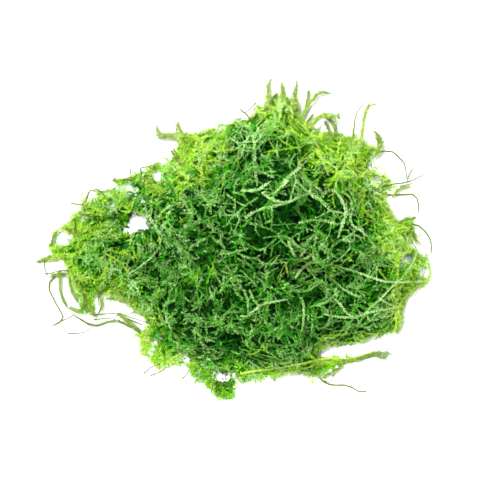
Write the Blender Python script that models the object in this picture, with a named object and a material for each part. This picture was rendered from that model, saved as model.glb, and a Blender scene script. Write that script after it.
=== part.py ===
"""A loose, palm-size clump of thread-like aquatic moss, lying on a flat surface.

The clump is a tangle of knotted tufts, with single leafy strands straying out of its rim. Each tuft
is a lumpy ball that is flat where it rests and where it presses on a neighbour; each strand is a thin
tube as wide as its leaves reach. +X runs along the clump's length, +Y to its back, and the origin is
under its middle, on the surface it lies on. Sizes in the tables are in millimetres.
"""

import math

import bmesh
import bpy
from mathutils import Matrix, Vector, noise
from mathutils.bvhtree import BVHTree

MM = 0.001
GAP = 0.3 * MM  # air between pieces that touch
LIFT = 0.4 * MM  # air under a strand that lies on the surface

TUFT_RINGS = 12  # rows of faces from a tuft's foot to its crown
TUFT_SEGMENTS = 22  # faces round a tuft
SINK = 0.38  # share of a tuft's height at which it is widest
FULLNESS = 2.5  # 2 makes a tuft's side an ellipse; above 2 its shoulder is fuller
FOOT = 1.6  # how far under the surface a tuft's ball would reach, in waist heights
LUMPS = ((2.1, 0.13), (4.6, 0.07))  # how many lumps across a tuft, and how far they stand out

LEAFY_WIDTH = 1.5  # leaf tip to leaf tip across a leafy strand
BARE_WIDTH = 0.7  # across a stem that has lost most of its leaves
STRAND_STEP = 1.8  # distance between the rings of a strand
STRAND_SIDES = 2  # bevel resolution: 8 sides

# name: middle (x, y), half length, half width, height, turn in degrees
TUFTS = {
    "tuft_middle": ((8.9, 5.3), 16.5, 16.6, 37.0, 20),
    "tuft_middle_right": ((30.8, 3.5), 15.5, 15.5, 32.0, -10),
    "tuft_back": ((12.5, 26.8), 13.4, 14.6, 21.0, 8),
    "tuft_back_left": ((-8.2, 21.6), 11.2, 10.8, 17.0, 30),
    "tuft_back_right": ((31.6, 21.6), 13.0, 10.4, 20.0, -12),
    "tuft_left_shoulder": ((-12.4, 4.4), 13.6, 14.8, 25.0, 0),
    "tuft_left_back": ((-35.4, 10.8), 13.8, 8.0, 9.0, 24),
    "tuft_left_front": ((-38.6, -6.8), 16.0, 9.6, 10.5, -5),
    "tuft_right": ((47.2, -2.4), 10.4, 15.2, 18.0, 6),
    "tuft_front_right": ((39.0, -20.6), 13.8, 11.8, 17.0, 12),
    "tuft_front": ((15.6, -23.8), 16.6, 15.0, 23.0, 5),
    "tuft_front_left": ((-8.3, -19.8), 13.6, 14.4, 24.0, 0),
    "tuft_front_left_rim": ((-24.2, -17.0), 9.0, 12.2, 13.0, 15),
    "tuft_front_tip": ((-3.4, -43.2), 5.6, 4.8, 6.0, -15),
}

# name: (width, points from the clump outwards, as x, y, height over the surface)
STRANDS = {
    "strand_back_spike_left": (LEAFY_WIDTH, [
        (10.2, 38, 7.0), (10.7, 42.5, 8.0), (10.7, 45.2, 8.4), (11.4, 47.2, 8.6), (12.6, 47.4, 8.6)]),
    "strand_back_spike_middle": (LEAFY_WIDTH, [
        (15.6, 38, 8.0), (15.1, 42.9, 9.6), (14.6, 45.2, 10.2), (14.3, 47.2, 10.6)]),
    "strand_back_spike_right": (LEAFY_WIDTH, [
        (18.2, 38, 7.6), (18.6, 42.5, 9.0), (19, 45.2, 9.8), (18.7, 47.4, 10.4)]),
    "strand_back_hook": (LEAFY_WIDTH, [
        (19.6, 34.6, 4.2), (22.5, 40.1, 3.6), (24.3, 42, 3.4), (26.1, 44, 3.2), (31.2, 43.7, 2.6)]),
    "strand_back_curl": (LEAFY_WIDTH, [
        (23.6, 33.6, 6.6), (26.6, 36.5, 7.2), (29.9, 36.5, 7.4), (31.7, 35.9, 7.2), (31.4, 38.6, 7.0)]),
    "strand_back_right_stem": (LEAFY_WIDTH, [
        (38.4, 27, 5.8), (38.6, 32, 6.6), (40.1, 38.6, 7.2), (41.4, 40.2, 7.2), (45, 40.4, 7.0)]),
    "strand_back_right_fork": (BARE_WIDTH, [
        (35.8, 29, 5.0), (36.4, 35.1, 5.4), (36.9, 37.4, 5.6), (38.4, 39.6, 5.6), (40.4, 41.4, 5.4)]),
    "strand_back_right_spike": (LEAFY_WIDTH, [
        (42.6, 24.6, 4.4), (44, 28.4, 5.4), (43.2, 30.6, 6.2), (41.5, 33, 7.0)]),
    "strand_right_arc": (BARE_WIDTH, [
        (43.4, 26.2, 2.6), (47.3, 26.4, 4.2), (50, 24.1, 5.0), (51.4, 22.2, 5.0), (52, 18, 4.2)]),
    "strand_right_branch": (BARE_WIDTH, [
        (44.6, 16.0, 2.4), (48.2, 16.7, 2.6), (52.4, 17.2, 2.8), (55.5, 18.6, 3.0), (57.6, 19.5, 3.0)]),
    "strand_right_hook": (BARE_WIDTH, [
        (45.2, 13.5, 1.2), (50.5, 13.6, 1.1), (54.4, 13.7, 1.0), (55.5, 11.7, 1.0), (55.8, 8.2, 1.0)]),
    "strand_right_rim": (BARE_WIDTH, [
        (53.3, 4.6, 3.4), (56, 3.9, 3.4), (57.8, 2, 3.2), (59.2, -0.6, 2.8), (59.4, -4.2, 2.4)]),
    "strand_front_right": (LEAFY_WIDTH, [
        (24.3, -36, 1.3), (32.6, -36.4, 1.3), (39.9, -34.8, 1.3), (43.4, -33.8, 1.3), (48.6, -34.8, 1.3)]),
    "strand_front_straggler": (BARE_WIDTH, [
        (23.6, -38.6, 1.1), (28, -42.9, 1.1), (34.4, -43.4, 1.1), (36.8, -45, 1.1), (39.8, -45.2, 1.1)]),
    "strand_front_left_bridge": (LEAFY_WIDTH, [
        (-27.5, -27.3, 1.3), (-33.5, -24.6, 1.3), (-37, -24.4, 1.3), (-41.6, -25.6, 1.3),
        (-46.8, -22.9, 1.3)]),
    "strand_left_front_stem": (BARE_WIDTH, [
        (-51.6, -9.6, 2.0), (-55, -13.5, 1.1), (-53.3, -18.1, 1.0), (-50.6, -23.5, 1.0),
        (-53.7, -25.7, 1.0)]),
    "strand_left_tip": (LEAFY_WIDTH, [
        (-51.8, -5.2, 2.2), (-55.4, -5.6, 1.7), (-57.4, -6.2, 1.3), (-59.1, -6.6, 1.2)]),
    "strand_back_left_hand": (LEAFY_WIDTH, [
        (-14.2, 30.4, 4.6), (-18, 31.2, 4.2), (-21.5, 31, 4.0), (-22.7, 32.9, 4.0), (-22.2, 35.4, 4.2)]),
}

GREENS = {  # colour and roughness of each kind of piece
    "fresh_moss": ((0.28, 0.52, 0.05), 0.55),
    "deep_moss": ((0.05, 0.20, 0.03), 0.55),
    "loose_strand": ((0.32, 0.42, 0.10), 0.50),
    "bare_stem": ((0.30, 0.32, 0.12), 0.50),
}
DEEP_TUFT_HEIGHT = 23.0  # tufts taller than this show their older, darker moss


def clear_scene():
    """Empties the scene."""
    for obj in list(bpy.data.objects):
        bpy.data.objects.remove(obj, do_unlink=True)


def make_materials():
    """One Principled material for each kind of piece."""
    made = {}
    for name, (colour, roughness) in GREENS.items():
        material = bpy.data.materials.new(name)
        material.use_nodes = True
        shader = material.node_tree.nodes["Principled BSDF"]
        shader.inputs["Base Color"].default_value = (*colour, 1.0)
        shader.inputs["Roughness"].default_value = roughness
        shader.inputs["Metallic"].default_value = 0.0
        made[name] = material
    return made


def lump(direction, seed):
    """How far a tuft's surface stands out in this direction, as a share of its radius."""
    offset = Vector((seed * 7.3, seed * 3.1, seed * 5.7))
    return 1.0 + sum(share * noise.noise(direction * count + offset) for count, share in LUMPS)


def tuft_ball(row, seed):
    """The lumpy ball of one tuft, as a bmesh."""
    (x, y), half_length, half_width, height, turn = row
    waist = SINK * height
    ball = bmesh.new()
    bmesh.ops.create_uvsphere(ball, u_segments=TUFT_SEGMENTS, v_segments=TUFT_RINGS, radius=1.0)
    for point in ball.verts:
        direction = point.co.normalized()
        level = math.hypot(direction.x, direction.y)
        swell = (level**FULLNESS + abs(direction.z) ** FULLNESS) ** (-1 / FULLNESS)
        # A tuft slumps, so its lower half runs almost straight down to a broad foot.
        rise = (height - waist) if direction.z > 0 else FOOT * waist
        stretch = Vector((half_length, half_width, rise))
        point.co = lump(direction, seed) * swell * direction * stretch
    spin = Matrix.Rotation(math.radians(turn), 4, "Z")
    place = Matrix.Translation(Vector((x, y, waist)))
    ball.transform(Matrix.Scale(MM, 4) @ place @ spin)
    return ball


def cut_flat(ball, point, normal):
    """Cuts away what lies beyond a plane, and closes the cut with a flat face."""
    geometry = list(ball.verts) + list(ball.edges) + list(ball.faces)
    cut = bmesh.ops.bisect_plane(
        ball, geom=geometry, dist=1e-7, plane_co=point, plane_no=normal, clear_outer=True
    )
    rim = [item for item in cut["geom_cut"] if isinstance(item, bmesh.types.BMEdge)]
    if rim:
        bmesh.ops.triangle_fill(ball, edges=rim, use_beauty=True, use_dissolve=False)


def press_plane(row, other):
    """Where two neighbouring tufts press on each other: the plane's point and normal."""
    centre, beyond = (Vector((*r[0], SINK * r[3])) * MM for r in (row, other))
    radius, reach = ((r[1] + r[2]) / 2 * MM for r in (row, other))
    between = beyond - centre
    distance = between.length
    share = (distance**2 + radius**2 - reach**2) / (2 * distance)
    normal = between / distance
    return centre + normal * (share - GAP / 2), normal


def make_tuft(name, seed):
    """One tuft: its ball, flat underneath and where its neighbours press on it."""
    row = TUFTS[name]
    ball = tuft_ball(row, seed)
    for other, other_row in TUFTS.items():
        if other != name:
            cut_flat(ball, *press_plane(row, other_row))
    cut_flat(ball, Vector((0, 0, 0)), Vector((0, 0, -1)))
    bmesh.ops.triangulate(ball, faces=ball.faces)
    bmesh.ops.recalc_face_normals(ball, faces=ball.faces)
    mesh = bpy.data.meshes.new(name)
    ball.to_mesh(mesh)
    ball.free()
    mesh.shade_smooth()
    mesh.set_sharp_from_angle(angle=math.radians(40))
    tuft = bpy.data.objects.new(name, mesh)
    bpy.context.collection.objects.link(tuft)
    return tuft


def smooth_route(points, step):
    """Points every step along a Catmull-Rom curve through a strand's own points."""
    ends = [points[0] * 2 - points[1], *points, points[-1] * 2 - points[-2]]
    dense = []
    for before, start, end, after in zip(ends, ends[1:], ends[2:], ends[3:]):
        count = max(2, round((end - start).length / step))
        for i in range(count):
            t = i / count
            dense.append(
                0.5 * (2 * start + (end - before) * t
                       + (2 * before - 5 * start + 4 * end - after) * t**2
                       + (3 * start - before - 3 * end + after) * t**3)
            )
    return [*dense, points[-1]]


def clears(point, surface, distance):
    """Whether a point lies outside a closed surface and at least this far from it."""
    _, normal, _, _ = surface.ray_cast(point, Vector((0, 0, 1)))
    inside = normal is not None and normal.z > 0
    return not inside and surface.find_nearest(point)[3] > distance


def make_strand(name, tuft_surfaces):
    """One loose strand: a closed tube that starts where it clears the tufts."""
    width, points = STRANDS[name]
    radius = width / 2 * MM
    route = smooth_route([Vector(p) * MM for p in points], STRAND_STEP * MM)
    free = [all(clears(p, surface, radius + 2 * GAP) for surface in tuft_surfaces) for p in route]
    if not all(free):
        last_buried = max(i for i, is_free in enumerate(free) if not is_free)
        route = route[last_buried + 1 :]
    curve = bpy.data.curves.new(name, "CURVE")
    curve.dimensions = "3D"
    curve.bevel_depth = radius
    curve.bevel_resolution = STRAND_SIDES
    curve.use_fill_caps = True
    spline = curve.splines.new("POLY")
    spline.points.add(len(route) - 1)
    for end, point in zip(spline.points, route):
        end.co = (point.x, point.y, max(point.z, radius + LIFT), 1.0)
    strand = bpy.data.objects.new(name, curve)
    bpy.context.collection.objects.link(strand)
    return strand


def centre_on_origin(pieces):
    """Moves the whole clump so that the origin is under the middle of its box."""
    bpy.context.view_layer.update()
    corners = [Vector(corner) for piece in pieces for corner in piece.bound_box]
    middle = [(min(c[i] for c in corners) + max(c[i] for c in corners)) / 2 for i in (0, 1)]
    for piece in pieces:
        piece.location = (-middle[0], -middle[1], 0.0)


def main():
    clear_scene()
    materials = make_materials()
    pieces = []
    for seed, name in enumerate(TUFTS):
        tuft = make_tuft(name, seed)
        deep = TUFTS[name][3] > DEEP_TUFT_HEIGHT
        tuft.data.materials.append(materials["deep_moss" if deep else "fresh_moss"])
        pieces.append(tuft)
    graph = bpy.context.evaluated_depsgraph_get()
    surfaces = [BVHTree.FromObject(tuft, graph) for tuft in pieces]
    for name, (width, _) in STRANDS.items():
        strand = make_strand(name, surfaces)
        kind = "loose_strand" if width == LEAFY_WIDTH else "bare_stem"
        strand.data.materials.append(materials[kind])
        pieces.append(strand)
    centre_on_origin(pieces)


main()
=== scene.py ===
# %% [markdown]
# # A loose clump of water moss
# The clump is hundreds of thin, branching, leafy shoots, tangled into soft tufts. This lesson grows
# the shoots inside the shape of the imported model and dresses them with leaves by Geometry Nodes. One
# living green colours them, from almost black in the hollows to yellow at the rim.

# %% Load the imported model
import math

import bpy
import numpy as np
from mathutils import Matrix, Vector, noise
from mathutils.bvhtree import BVHTree


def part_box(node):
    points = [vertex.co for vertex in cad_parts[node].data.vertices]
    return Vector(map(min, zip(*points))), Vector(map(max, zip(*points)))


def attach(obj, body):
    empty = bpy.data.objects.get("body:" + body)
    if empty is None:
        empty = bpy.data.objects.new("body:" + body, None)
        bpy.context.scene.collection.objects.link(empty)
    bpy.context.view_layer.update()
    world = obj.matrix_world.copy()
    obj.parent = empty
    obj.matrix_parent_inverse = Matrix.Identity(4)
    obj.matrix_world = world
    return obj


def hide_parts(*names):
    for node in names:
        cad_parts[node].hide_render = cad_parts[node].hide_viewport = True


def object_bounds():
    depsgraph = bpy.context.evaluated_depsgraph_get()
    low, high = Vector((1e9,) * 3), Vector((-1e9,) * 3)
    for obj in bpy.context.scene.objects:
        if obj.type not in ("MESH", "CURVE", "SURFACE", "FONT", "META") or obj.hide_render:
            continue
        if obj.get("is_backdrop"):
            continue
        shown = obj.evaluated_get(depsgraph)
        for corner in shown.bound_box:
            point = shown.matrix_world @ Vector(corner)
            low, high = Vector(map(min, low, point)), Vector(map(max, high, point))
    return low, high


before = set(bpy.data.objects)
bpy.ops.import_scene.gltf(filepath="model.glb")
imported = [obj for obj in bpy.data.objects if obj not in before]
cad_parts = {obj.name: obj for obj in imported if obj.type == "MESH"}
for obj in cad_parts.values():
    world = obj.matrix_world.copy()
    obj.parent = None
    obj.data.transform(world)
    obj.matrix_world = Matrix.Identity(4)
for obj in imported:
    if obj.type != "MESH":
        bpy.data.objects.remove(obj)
cad_box = [list(corner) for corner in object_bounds()]
MM = 0.001
tuft_names = sorted(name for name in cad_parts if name.startswith("tuft"))
strand_names = sorted(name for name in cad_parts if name.startswith("strand"))
print(len(tuft_names), "tufts and", len(strand_names), "strands")

# %% [markdown]
# ## The camera
# The clump is shown as it would lie on a desk under a camera on a stand, almost straight below the
# lens. A long lens from 60 cm keeps the outline close to its plan, while the tall middle still leans
# out a little. The camera comes first, because some strands are laid where the eye sees them.

# %% Set the camera
VIEW_ELEVATION = math.radians(86)
VIEW_DISTANCE = 0.60
VIEW_WIDTH = 0.144  # how much of the floor the picture spans
SENSOR = 36.0
LOOK_AT = Vector((0.0022, 0.0, 0.0))

lens = bpy.data.cameras.new("camera")
lens.sensor_width, lens.lens = SENSOR, SENSOR * VIEW_DISTANCE / VIEW_WIDTH
camera = bpy.data.objects.new("camera", lens)
sight = Vector((0, math.cos(VIEW_ELEVATION), -math.sin(VIEW_ELEVATION)))
camera.location = LOOK_AT - sight * VIEW_DISTANCE
camera.rotation_euler = sight.to_track_quat("-Z", "Y").to_euler()
bpy.context.scene.collection.objects.link(camera)
bpy.context.scene.camera = camera
eye = np.array(camera.location)
print(f"lens {lens.lens:.0f} mm")


def seen_spots(points):
    """Where points appear to lie on the floor, for the eye above."""
    reach = eye[2] / (eye[2] - points[:, 2:3])
    return eye[:2] + (points[:, :2] - eye[:2]) * reach


# %% [markdown]
# ## The shape the moss fills
# A tangle has no surface of its own, but its shoots stop at an outer envelope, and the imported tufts
# give it. A ray dropped at every grid point measures how high they stand, and a blur closes the
# creases between neighbouring tufts, because real shoots grow across those.

# %% Measure how high the tufts stand
CELL = 0.8 * MM  # grid spacing
MARGIN = 8 * MM  # empty border round the clump
RAY_HEIGHT = 1.0  # rays start this high, well above the clump
DOWN = Vector((0, 0, -1))

low, high = (Vector(corner) for corner in cad_box)
grid_x = np.arange(low.x - MARGIN, high.x + MARGIN, CELL)
grid_y = np.arange(low.y - MARGIN, high.y + MARGIN, CELL)
mesh_x, mesh_y = np.meshgrid(grid_x, grid_y, indexing="ij")


def tufts_height():
    """How high the tufts stand at each grid point."""
    height = np.zeros(mesh_x.shape)
    for name in tuft_names:
        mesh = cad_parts[name].data
        corners = [v.co for v in mesh.vertices]
        surface = BVHTree.FromPolygons(corners, [p.vertices for p in mesh.polygons])
        near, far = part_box(name)
        for i in np.flatnonzero((grid_x > near.x) & (grid_x < far.x)):
            for j in np.flatnonzero((grid_y > near.y) & (grid_y < far.y)):
                hit = surface.ray_cast(Vector((grid_x[i], grid_y[j], RAY_HEIGHT)), DOWN)[0]
                if hit is not None:
                    height[i, j] = max(height[i, j], hit.z)
    return height


def blurred(field, passes):
    """The field averaged with its neighbours, several times over."""
    for _ in range(passes):
        padded = np.pad(field, 1, mode="edge")
        cross = padded[:-2, 1:-1] + padded[2:, 1:-1] + padded[1:-1, :-2] + padded[1:-1, 2:]
        field = (cross + 2 * field) / 6
    return field


BLUR_PASSES = 14
envelope = blurred(tufts_height(), BLUR_PASSES)
print(f"envelope {envelope.max() / MM:.1f} mm high on {envelope.size} grid points")

# %% [markdown]
# ## The outline and the holes
# Seen from above, the clump ends in a ragged outline, and near its left end the surface below shows
# through small holes. Both become one field: how far each grid point lies inside the moss. A shoot
# that gets near zero turns back, apart from the few that stray out as wisps.

# %% Outline and holes, in millimetres
OUTLINE = [
    (-54.2, 0.2), (-50.5, 4.2), (-47.7, 6.6), (-45.2, 11.0), (-43.0, 14.2), (-40.6, 15.2), (-37.7, 14.4),
    (-34.8, 17.2), (-30.2, 19.4), (-27, 20.2), (-23.8, 22.9), (-19.2, 23.4), (-16.9, 26.9), (-16.3, 31.6),
    (-10.5, 32.1), (-5.4, 34.4), (-2.2, 35.6), (2, 36.9), (5, 36.9), (7.8, 40.1), (11, 42),
    (14.6, 43.9), (17.4, 42.5), (19.6, 42.2), (20.6, 36.9), (24.3, 33.9), (27.5, 32.6), (32.1, 32.3),
    (36.2, 31.3), (39, 29.3), (43.4, 27.9), (42.4, 24.9), (40.8, 22.2), (43.1, 20), (45.4, 19.2),
    (48.6, 17.6), (48.4, 15.8), (45, 13.5), (46.4, 10.3), (48.7, 6.3), (53.3, 6.2), (54, 2.9),
    (56.5, -0.6), (58.8, -6.6), (57.4, -12.8), (54.2, -15.7), (51.4, -19.6), (49.9, -26.2), (47.3, -28),
    (42.7, -29.3), (36.2, -31.4), (29.8, -32.1), (25.4, -33.6), (26.5, -35.2), (32.6, -35.2),
    (32.2, -37.8), (28, -39.7), (24.3, -40.4), (17.4, -40.4), (11.4, -41.3), (6.8, -42.4), (2.6, -42.2),
    (2.4, -43.2), (0.4, -43.7), (0.8, -46), (-1.2, -47.8), (-4.2, -47.9), (-6.6, -45.3), (-8.6, -42.8),
    (-11.4, -41), (-12.8, -38.5), (-16.9, -37.2), (-21.5, -38.3), (-24.3, -36.2), (-27, -34),
    (-27.7, -29.6), (-26.1, -25.9), (-26.9, -22.9), (-29.8, -21), (-33.5, -18.8), (-38.5, -16.9),
    (-41, -16.6), (-41.6, -20.9), (-43.6, -22.2), (-45.2, -20.6), (-46.8, -14.9), (-49.1, -11.8),
    (-50.2, -8.9), (-50.4, -6.4), (-54.6, -5.4), (-54.2, -2.5),
]
HOLES = [  # middle x, y, half length, half width
    (-28.6, 5.1, 2.7, 2.4), (-31, 3.7, 1.1, 1), (-26.8, 7.6, 0.8, 0.7), (-22.4, 19.9, 1.1, 1.2),
    (-30.8, 15.7, 1.4, 1.1), (-30.5, 13, 1, 0.8), (-34, 14.9, 0.8, 0.7), (-35.9, 10.1, 0.8, 0.9),
    (-42, 13.2, 1.8, 1.2), (-44.9, 8.6, 0.8, 1.1), (-45.3, 6.1, 1.2, 0.9), (-28, 11.8, 0.6, 0.5),
    (-50.3, 0.2, 2.6, 1.8), (-23, -29.8, 0.5, 0.5), (-24.2, -32.8, 0.7, 0.9), (-19.5, -35.6, 0.6, 0.5),
    (-13.8, -35.6, 0.8, 0.9), (-4.2, -40.9, 2.7, 1), (42.7, 17.1, 2.2, 1.4), (27.1, 33.7, 1.6, 1.1),
    (51.4, -6.2, 1.2, 1.2), (54.9, -2.3, 1.4, 1.3), (57.6, -2.5, 1.1, 1.9), (57.2, -9.9, 1.8, 2.2),
    (50.9, -0.2, 0.8, 0.6), (10, 41, 0.4, 0.4),
]


def distance_inside(spots, outline):
    """How far spots lie inside a closed outline, negative outside it."""
    start = np.array(outline)
    run = np.roll(start, -1, axis=0) - start
    offset = spots[:, None, :] - start[None, :, :]
    along = np.clip((offset * run).sum(2) / (run**2).sum(1), 0, 1)
    nearest = np.linalg.norm(offset - along[:, :, None] * run, axis=2).min(1)
    end_y = start[:, 1] + run[:, 1]
    crosses = (start[:, 1] > spots[:, 1:2]) != (end_y > spots[:, 1:2])
    with np.errstate(divide="ignore", invalid="ignore"):
        meets_x = start[:, 0] + (spots[:, 1:2] - start[:, 1]) * run[:, 0] / run[:, 1]
    inside = (crosses & (spots[:, 0:1] < meets_x)).sum(1) % 2 == 1
    return np.where(inside, nearest, -nearest)


plan = np.column_stack([mesh_x.ravel(), mesh_y.ravel()])
FRINGE = 0.5 * MM  # how far leaves and tips reach past the outline of the stems
open_rim = distance_inside(plan, np.array(OUTLINE) * MM) + FRINGE  # to the outline alone
rim = open_rim.copy()  # to the outline or a hole, whichever is nearer
for x, y, half_length, half_width in HOLES:
    away = np.linalg.norm((plan / MM - (x, y)) / (half_length, half_width), axis=1)
    rim = np.minimum(rim, (away - 1) * min(half_length, half_width) * MM)
rim, open_rim = rim.reshape(mesh_x.shape), open_rim.reshape(mesh_x.shape)
print(f"the moss covers {(rim > 0).sum() * CELL**2 * 1e4:.0f} square centimetres")

# %% [markdown]
# The blurred tufts are too smooth, and too sheer at the rim. The envelope is pulled down to a thin
# lacy edge along the outline, and a little solid noise gives it the heaps and dips of loose moss.
# Hollows are places where few young shoots cross, so the inside of the tangle shows: in real shade, and
# painted darker as shade by its depth.

# %% Shape the envelope
EDGE_HEIGHT = 2.6 * MM  # thickness right at the outline
EDGE_RISE = 2.0  # how steeply the clump rises from its outline
THINNEST = 1.4 * MM  # the clump is nowhere thinner than this
HEAPS = ((9 * MM, 2.6 * MM), (4 * MM, 1.0 * MM))  # width and height of the heaps
FULL_HEAPS, LEAST_HEAPS = 12 * MM, 0.15  # thickness that carries full heaps, and what is left at the rim
NOISE_GAIN = 1.6  # brings the noise to about -1 to 1
SOFTEN = 2  # light blurs that take off the corners
HOLLOWS = [  # middle x, y, radius, strength, in millimetres
    (24, 9.4, 5.5, 1), (22, 8.2, 3.5, 0.8), (7.5, 20.8, 3, 0.8), (4, -1.5, 4, 0.5),
    (-11, -18, 4.5, 0.6), (-12.5, -25, 3, 0.5), (45, -21.5, 2.2, 0.8), (-2, 8, 3, 0.2),
    (33.5, 11.5, 1.8, 0.7), (8.5, -17, 2.5, 0.5), (10, 24.5, 2.5, 0.5), (38.5, 9, 2, 0.5),
]
HOLLOW_DEPTH = 5 * MM


def solid_noise(width, seed):
    """Smooth noise over the grid, from about -1 to 1, with features of this width."""
    rows = [[noise.noise(Vector((x / width, y / width, seed))) for y in grid_y] for x in grid_x]
    return np.array(rows) * NOISE_GAIN


def spots_of(places, shape=2):
    """A field with each place's strength at its middle, fading around it; more suddenly by shape."""
    field = np.zeros(mesh_x.shape)
    for x, y, radius, strength in places:
        away = np.hypot(mesh_x - x * MM, mesh_y - y * MM) / (radius * MM)
        field += strength * np.exp(-away**shape)
    return field


hollow = np.clip(spots_of(HOLLOWS, 4), 0, 1)
limit = EDGE_HEIGHT + EDGE_RISE * np.maximum(open_rim, 0)
envelope = np.minimum(np.maximum(envelope, EDGE_HEIGHT), limit)
for seed, (width, rise) in enumerate(HEAPS):
    envelope += rise * solid_noise(width, seed + 0.5) * np.clip(envelope / FULL_HEAPS, LEAST_HEAPS, 1)
envelope = np.maximum(blurred(envelope - HOLLOW_DEPTH * hollow, SOFTEN), THINNEST)
slope_x, slope_y = np.gradient(envelope, CELL)
inward_x, inward_y = np.gradient(blurred(rim, SOFTEN), CELL)
print(f"envelope now {envelope.max() / MM:.1f} mm high")

# %% [markdown]
# Shoots don't keep to the grid, so every field is read between its points, as a picture is when it is
# enlarged: each of the four nearest values counts by how close it is.

# %% Read a field anywhere
LAST_CELL = 1.001  # keeps a place inside the last cell of the grid


def sample(field, places):
    """The field's values at places, read between grid points."""
    i = np.clip((places[:, 0] - grid_x[0]) / CELL, 0, len(grid_x) - LAST_CELL)
    j = np.clip((places[:, 1] - grid_y[0]) / CELL, 0, len(grid_y) - LAST_CELL)
    i0, j0 = i.astype(int), j.astype(int)
    s, t = i - i0, j - j0
    near = (1 - t) * field[i0, j0] + t * field[i0, j0 + 1]
    far = (1 - t) * field[i0 + 1, j0] + t * field[i0 + 1, j0 + 1]
    return (1 - s) * near + s * far


print("fields of", mesh_x.shape, "points can be read anywhere")

# %% [markdown]
# ## How light or dark the moss is
# Moss greens with age, and the tone also paints light and shade on it. Young tips at the rim and in the
# fresh patches are yellow-green, and the thin rim is painted lighter, as a glow of light through it. The
# middle is leaf green, and shoots deep in the tangle are painted nearly black, as painted shade over
# their old green. One number, the tone, says where on that scale a point of a shoot lies: 0 is the
# darkest and oldest, and 1 the lightest and freshest.

# %% Measure the tone
FRESH_PATCHES = [  # middle x, y, radius, strength, in millimetres
    (-11, 26, 8.5, 0.8), (15, 38, 8, 0.5), (36, 26, 9.5, 0.65), (51, -1, 10.5, 0.65), (50, -19, 6, 0.3),
    (-42, 2, 13, 0.33), (-24, -31, 7, 0.3), (15, -40, 7, 0.3), (33, 14, 5, 0.45), (22, 26, 6, 0.35),
    (-21, 10, 9, 0.22), (-2, 3, 10, 0.3), (8, -19.5, 3.5, 0.5), (-10, -11, 7, 0.5),
    (20, -5, 6, 0.6), (37, -7, 6, 0.4), (-31, -1, 6, 0.38), (27, -31, 5, 0.4), (8, 34, 6, -0.35),
    (25, -25, 11, -0.4), (26, 9, 6, -0.4), (28, 4, 9, -0.2), (8, -28, 9, -0.3), (40, -20, 9, -0.25),
    (-40, -1, 4, -0.3), (-21, -12, 6, -0.3), (8, -12, 4, -0.3), (2, -24, 3, 0.3), (-34, -12, 5, 0.28),
]
FRESH_RIM, RIM_STRENGTH = 6.5 * MM, 0.9  # width and strength of the fresh rim: young growth, and partly a painted glow of light through the thin moss
LEAST_FRESH = -0.2  # the darkest that a patch may make the moss
SHADE_FROM, SHADE_TO = 0.4 * MM, 3.2 * MM  # how far down the young green turns old and dark: age, and painted shade deeper in the tangle
YOUNG_TONE, YOUNG_GAIN = 0.31, 0.36  # tone of the shoots on top, and what freshness adds
OLD_TONE, OLD_GAIN, OLD_BEND = 0.03, 0.6, 1.4  # the same for those below, where it comes in late

DRY_PATCHES = [  # where the rim carries straw-coloured shoots
    (46, 6, 4, 0.4), (53, -12, 5, 0.4), (-25, -33, 6, 0.3), (-33, -20, 8, 0.3), (-4, 33, 5, 0.3),
    (12, 42, 4, 0.3), (20, -38, 8, 0.25), (-38, 14, 8, 0.25), (24, 34, 4, 0.4), (41, 28, 4, 0.3),
    (45, -22, 3, 0.3), (-24, -23, 4, 0.3), (-3, -44, 5, 0.4),
]
# the rim term paints the thin rim lighter, partly as its own fresher green and partly as a painted glow
fresh_and_glow_field = np.exp(-np.maximum(open_rim, 0) / FRESH_RIM) * RIM_STRENGTH + spots_of(FRESH_PATCHES)
fresh_and_glow_field = np.clip(fresh_and_glow_field, LEAST_FRESH, 1)
dry_field = np.clip(spots_of(DRY_PATCHES), 0, 1)


def unit(v):
    """Vectors scaled to a length of 1."""
    return v / np.maximum(np.linalg.norm(v, axis=-1, keepdims=True), 1e-12)


def outward(places):
    """The envelope's outward direction at places."""
    up = np.ones(len(places))
    return unit(np.column_stack([-sample(slope_x, places), -sample(slope_y, places), up]))


def tone_of(points):
    """The tone of the moss at points, from 0 to 1: its freshness, painted lighter at the thin rim and
    darker deeper down as shade.
    """
    fresh = sample(fresh_and_glow_field, seen_spots(points))
    # the deeper a point lies under the envelope, the darker it is painted, as shade
    sunk = (sample(envelope, points) - points[:, 2]) * outward(points)[:, 2]
    shade = np.clip((sunk - SHADE_FROM) / (SHADE_TO - SHADE_FROM), 0, 1)
    shade = shade**2 * (3 - 2 * shade)
    # on top the tone is the young green; deeper down it turns to the old green, painted darker as shade
    young = YOUNG_TONE + YOUNG_GAIN * fresh
    old = OLD_TONE + OLD_GAIN * np.maximum(fresh, 0) ** OLD_BEND
    return young * (1 - shade) + old * shade


print(f"fresh moss over {(fresh_and_glow_field[rim > 0] > 0.5).mean():.0%} of the clump")

# %% [markdown]
# ## Growing the shoots
# Every shoot is a walk: small steps with a slow curl, kept at its own depth under the envelope, with
# the tip rising towards the light. The oldest ones lie level, each at its own height. Each could be a
# drawn curve instead, but there are thousands. So a batch walks together, as the rows of one array.

# %% Walk a batch of shoots
STEP = 0.6 * MM
LOWEST = 0.7 * MM  # height of the lowest stems above the floor
TURN_BACK = 1.4 * MM  # how close to the outline a shoot turns back
BURIED = 3.0 * MM  # how far under the envelope the level shoots stay
CURL_DRIFT = 18  # how fast the curl changes, in radians a metre a step
TIP_FROM, TIP_PART = 0.55, 0.45  # where the tip of a shoot starts to rise, and how long it is
REGAIN, STEEPEST = 2 * MM, 0.35  # how soon a shoot is back at its depth, and how steeply at most
PULL = 0.8  # how firmly it is turned back each step
SKY = np.array([0.0, 0.0, 1.0])
rng = np.random.default_rng(7)


def turned(v, axis, angle):
    """Vectors turned about unit axes."""
    c, s = np.cos(angle)[:, None], np.sin(angle)[:, None]
    return v * c + np.cross(axis, v) * s + axis * (v * axis).sum(1, keepdims=True) * (1 - c)


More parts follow.
